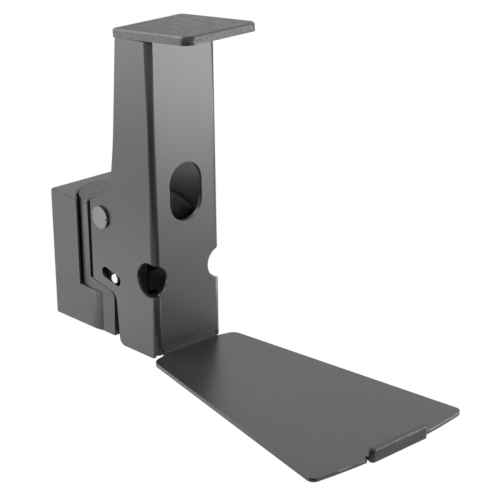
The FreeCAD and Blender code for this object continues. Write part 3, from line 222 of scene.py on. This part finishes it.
# Each call: name, level of the colour from 0 to 1, roughness
SHEET = powder_coat("sheet_coat", 0.024, 0.3, dull_line=PLATFORM_FOLD)
CASTING = powder_coat("casting_coat", 0.032, 0.42, grain=1700.0, depth=0.00004)
SCREW_COAT = metal("screw_plate", 0.14, 0.4, thread=("X", PIVOT_AXIS, *M6))
PLASTIC = moulded("moulded_plastic", 0.036, 0.42)
HIDE = leathery("textured_plastic", 0.023, 0.34)
SOFT = moulded("soft_plastic", 0.008, 0.32, grain=1800.0, depth=0.000001, rounding=0.0018)
ZINC = metal("zinc_plate", 0.34, 0.42)
BOLT = metal("bolt_plate", 0.5, 0.33, stretch=(1.0, 1.0, 6.0))
SWIVEL_BOLT = metal("swivel_bolt_plate", 0.5, 0.33, thread=("Z", SWIVEL_AXIS, *M8))
TILT_SCREW = metal("tilt_screw_plate", 0.5, 0.33, thread=("Z", TILT_SCREW_AXIS, *M6))
SPRING = metal("spring_steel", 0.24, 0.4, warm=0.06)
PIN = metal("bright_pin", 0.36, 0.25, stretch=(0.2, 1.0, 1.0))
NYLON = nylon("nylon")

LOOKS = {
    "speaker_bracket": SHEET,
    "turret_body": CASTING, "tilt_carriage": CASTING,
    "turret_cap": HIDE, "top_cap": HIDE,
    "wall_cover": PLASTIC, "lip_cap": SOFT, "wall_plate": ZINC,
    "swivel_bolt": SWIVEL_BOLT, "swivel_nut": BOLT, "swivel_washer": BOLT,
    "disc_spring_lower": SPRING, "disc_spring_upper": SPRING, "screw_clip": SPRING,
    "bush_lower": NYLON, "bush_upper": NYLON,
    "pivot_washer_left": NYLON, "pivot_washer_right": NYLON,
    "pivot_screw_left": SCREW_COAT, "pivot_screw_right": SCREW_COAT,
    "guide_pin": PIN, "tilt_screw": TILT_SCREW,
}


# Softened edges

# Width of the small rounding on each piece's sharp edges
EDGE = {
    "speaker_bracket": 0.00070, "turret_body": 0.00035, "turret_cap": 0.00030,
    "top_cap": 0.00035, "wall_cover": 0.00035, "lip_cap": 0.00020,
    "pivot_screw_left": 0.00035, "pivot_screw_right": 0.00035,
}
PLAIN_EDGE = 0.00015
SHARP_FROM = math.radians(35.0)
WELD_REACH = 0.000002


def soften_edges(piece, width):
    """Joins the mesh's faces and rounds its sharp edges a little, as paint and moulds do."""
    weld = piece.modifiers.new("weld", "WELD")
    weld.merge_threshold = WELD_REACH
    bevel = piece.modifiers.new("bevel", "BEVEL")
    bevel.width = width
    bevel.segments = 2
    bevel.limit_method = "ANGLE"
    bevel.angle_limit = SHARP_FROM
    bevel.harden_normals = True


for node_name, look in LOOKS.items():
    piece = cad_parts[node_name]
    piece.data.materials.clear()
    piece.data.materials.append(look)
    soften_edges(piece, EDGE.get(node_name, PLAIN_EDGE))


# Camera, floor and light

FLOOR_LEVEL = -0.32


def set_camera():
    """The photo's camera, fitted to straight edges of the object in it."""
    data = bpy.data.cameras.new("camera")
    data.lens = 127.7
    data.sensor_width = 36.0
    camera = bpy.data.objects.new("camera", data)
    bpy.context.collection.objects.link(camera)
    right = Vector((0.72951726, -0.68385385, -0.01218511))
    up = Vector((0.24662865, 0.2463965, 0.93726361))
    back = Vector((-0.63794896, -0.68675517, 0.34840846))
    place = Matrix((right, up, back)).transposed().to_4x4()
    place.translation = Vector((-0.62122534, -0.81581502, 0.37169486))
    camera.matrix_world = place
    bpy.context.scene.camera = camera


def seen_rays(tree):
    """1 for rays from the camera, a mirror or clear glass, otherwise 0."""
    path = tree.nodes.new("ShaderNodeLightPath")
    total = path.outputs["Is Camera Ray"]
    for name in ("Is Glossy Ray", "Is Transmission Ray"):
        larger = tree.nodes.new("ShaderNodeMath")
        larger.operation = "MAXIMUM"
        tree.links.new(total, larger.inputs[0])
        tree.links.new(path.outputs[name], larger.inputs[1])
        total = larger.outputs["Value"]
    return total


def studio_sheet(name, corners, material):
    """A flat piece of the studio, with one face."""
    mesh = bpy.data.meshes.new(name)
    mesh.from_pydata(corners, [], [(0, 1, 2, 3)])
    mesh.materials.append(material)
    sheet = bpy.data.objects.new(name, mesh)
    bpy.context.collection.objects.link(sheet)
    return sheet


def set_floor(level, half_size, middle, near, far):
    """Pale floor that takes the shadow near the object and is plain white further away.

    It turns from one to the other between the distances near and far from the middle.
    """
    shader = Shader("floor", 0.9)
    shader.surface.inputs["Base Color"].default_value = (0.9, 0.9, 0.9, 1.0)
    reach = shader.add("ShaderNodeVectorMath", operation="DISTANCE")
    reach.inputs[1].default_value = (*middle, level)
    shader.link(shader.place, reach.inputs[0])
    away = shader.add("ShaderNodeMapRange", interpolation_type="SMOOTHSTEP")
    away.inputs["From Min"].default_value = near
    away.inputs["From Max"].default_value = far
    shader.link(reach.outputs["Value"], away.inputs["Value"])
    whitened = shader.maths("MULTIPLY", away.outputs["Result"], seen_rays(shader.tree))
    white = shader.add("ShaderNodeEmission")
    white.inputs["Color"].default_value = (1.0, 1.0, 1.0, 1.0)
    mix = shader.add("ShaderNodeMixShader")
    shader.link(whitened, mix.inputs["Fac"])
    shader.link(shader.surface.outputs["BSDF"], mix.inputs[1])
    shader.link(white.outputs["Emission"], mix.inputs[2])
    shader.link(mix.outputs["Shader"], shader.tree.nodes["Material Output"].inputs["Surface"])
    corners = [(-half_size, -half_size, level), (half_size, -half_size, level),
               (half_size, half_size, level), (-half_size, half_size, level)]
    studio_sheet("floor", corners, shader.material)


def soft_light(name, place, target, size, power):
    """A rectangular light of that size that faces the target."""
    data = bpy.data.lights.new(name, "AREA")
    data.shape = "RECTANGLE"
    data.size, data.size_y = size
    data.energy = power
    light = bpy.data.objects.new(name, data)
    bpy.context.collection.objects.link(light)
    light.location = place
    light.rotation_euler = (Vector(target) - Vector(place)).to_track_quat("-Z", "Y").to_euler()
    light.visible_camera = False


def dark_card(bearing, near, far, low, high, half_width):
    """Dark studio card that slants up behind the camera and is seen only in reflections."""
    out = Vector((math.cos(bearing), math.sin(bearing), 0.0))
    side = Vector((-out.y, out.x, 0.0)) * half_width
    foot = out * near + Vector((0.0, 0.0, low))
    head = out * far + Vector((0.0, 0.0, high))
    shader = Shader("dark_card", 1.0, specular=0.0)
    shader.surface.inputs["Base Color"].default_value = (0.05, 0.05, 0.05, 1.0)
    corners = [foot - side, foot + side, head + side, head - side]
    card = studio_sheet("dark_card", corners, shader.material)
    card.visible_camera = False
    card.visible_shadow = False


def set_world(fill):
    """Even fill light, and plain white where the camera or a reflection sees it."""
    world = bpy.data.worlds.new("world")
    bpy.context.scene.world = world
    world.use_nodes = True
    tree = world.node_tree
    background = tree.nodes["Background"]
    background.inputs["Color"].default_value = (1.0, 1.0, 1.0, 1.0)
    background.inputs["Strength"].default_value = fill
    white = tree.nodes.new("ShaderNodeBackground")
    white.inputs["Color"].default_value = (1.0, 1.0, 1.0, 1.0)
    mix = tree.nodes.new("ShaderNodeMixShader")
    tree.links.new(seen_rays(tree), mix.inputs["Fac"])
    tree.links.new(background.outputs["Background"], mix.inputs[1])
    tree.links.new(white.outputs["Background"], mix.inputs[2])
    tree.links.new(mix.outputs["Shader"], tree.nodes["World Output"].inputs["Surface"])


set_camera()
set_floor(FLOOR_LEVEL, half_size=6.0, middle=(0.0, -0.2), near=0.2, far=0.4)
# The broad lights stay low: the upright faces mirror them, and the level tops don't
soft_light("key_right", (0.87, -1.02, -0.14), (0.0, -0.1, 0.0), (0.95, 0.24), 9.0)
soft_light("side_left", (-0.9, 0.95, -0.11), (0.0, -0.05, 0.0), (1.1, 0.26), 4.2)
soft_light("low_left", (-0.50, 0.435, -0.31), (-0.38, 0.305, 0.67), (0.8, 0.26), 1.7)
soft_light("back_right", (1.25, 1.1, 0.85), (0.0, -0.15, -0.05), (1.4, 0.5), 0.9)
# The rim lights stand where the rounded edges mirror them
soft_light("rim_front", (-0.4, -1.0, 0.95), (0.0, -0.1, 0.0), (1.0, 0.4), 4.5)
soft_light("rim_right", (0.9, -0.5, 0.9), (0.0, -0.15, 0.0), (1.0, 0.4), 4.5)
soft_light("rim_left", (-0.55, 0.7, 0.95), (0.0, -0.1, 0.0), (1.0, 0.4), 9.0)
dark_card(math.radians(-140.0), near=0.5, far=1.3, low=-0.315, high=0.05, half_width=0.8)
set_world(0.5)
bpy.context.scene.view_settings.view_transform = "Standard"
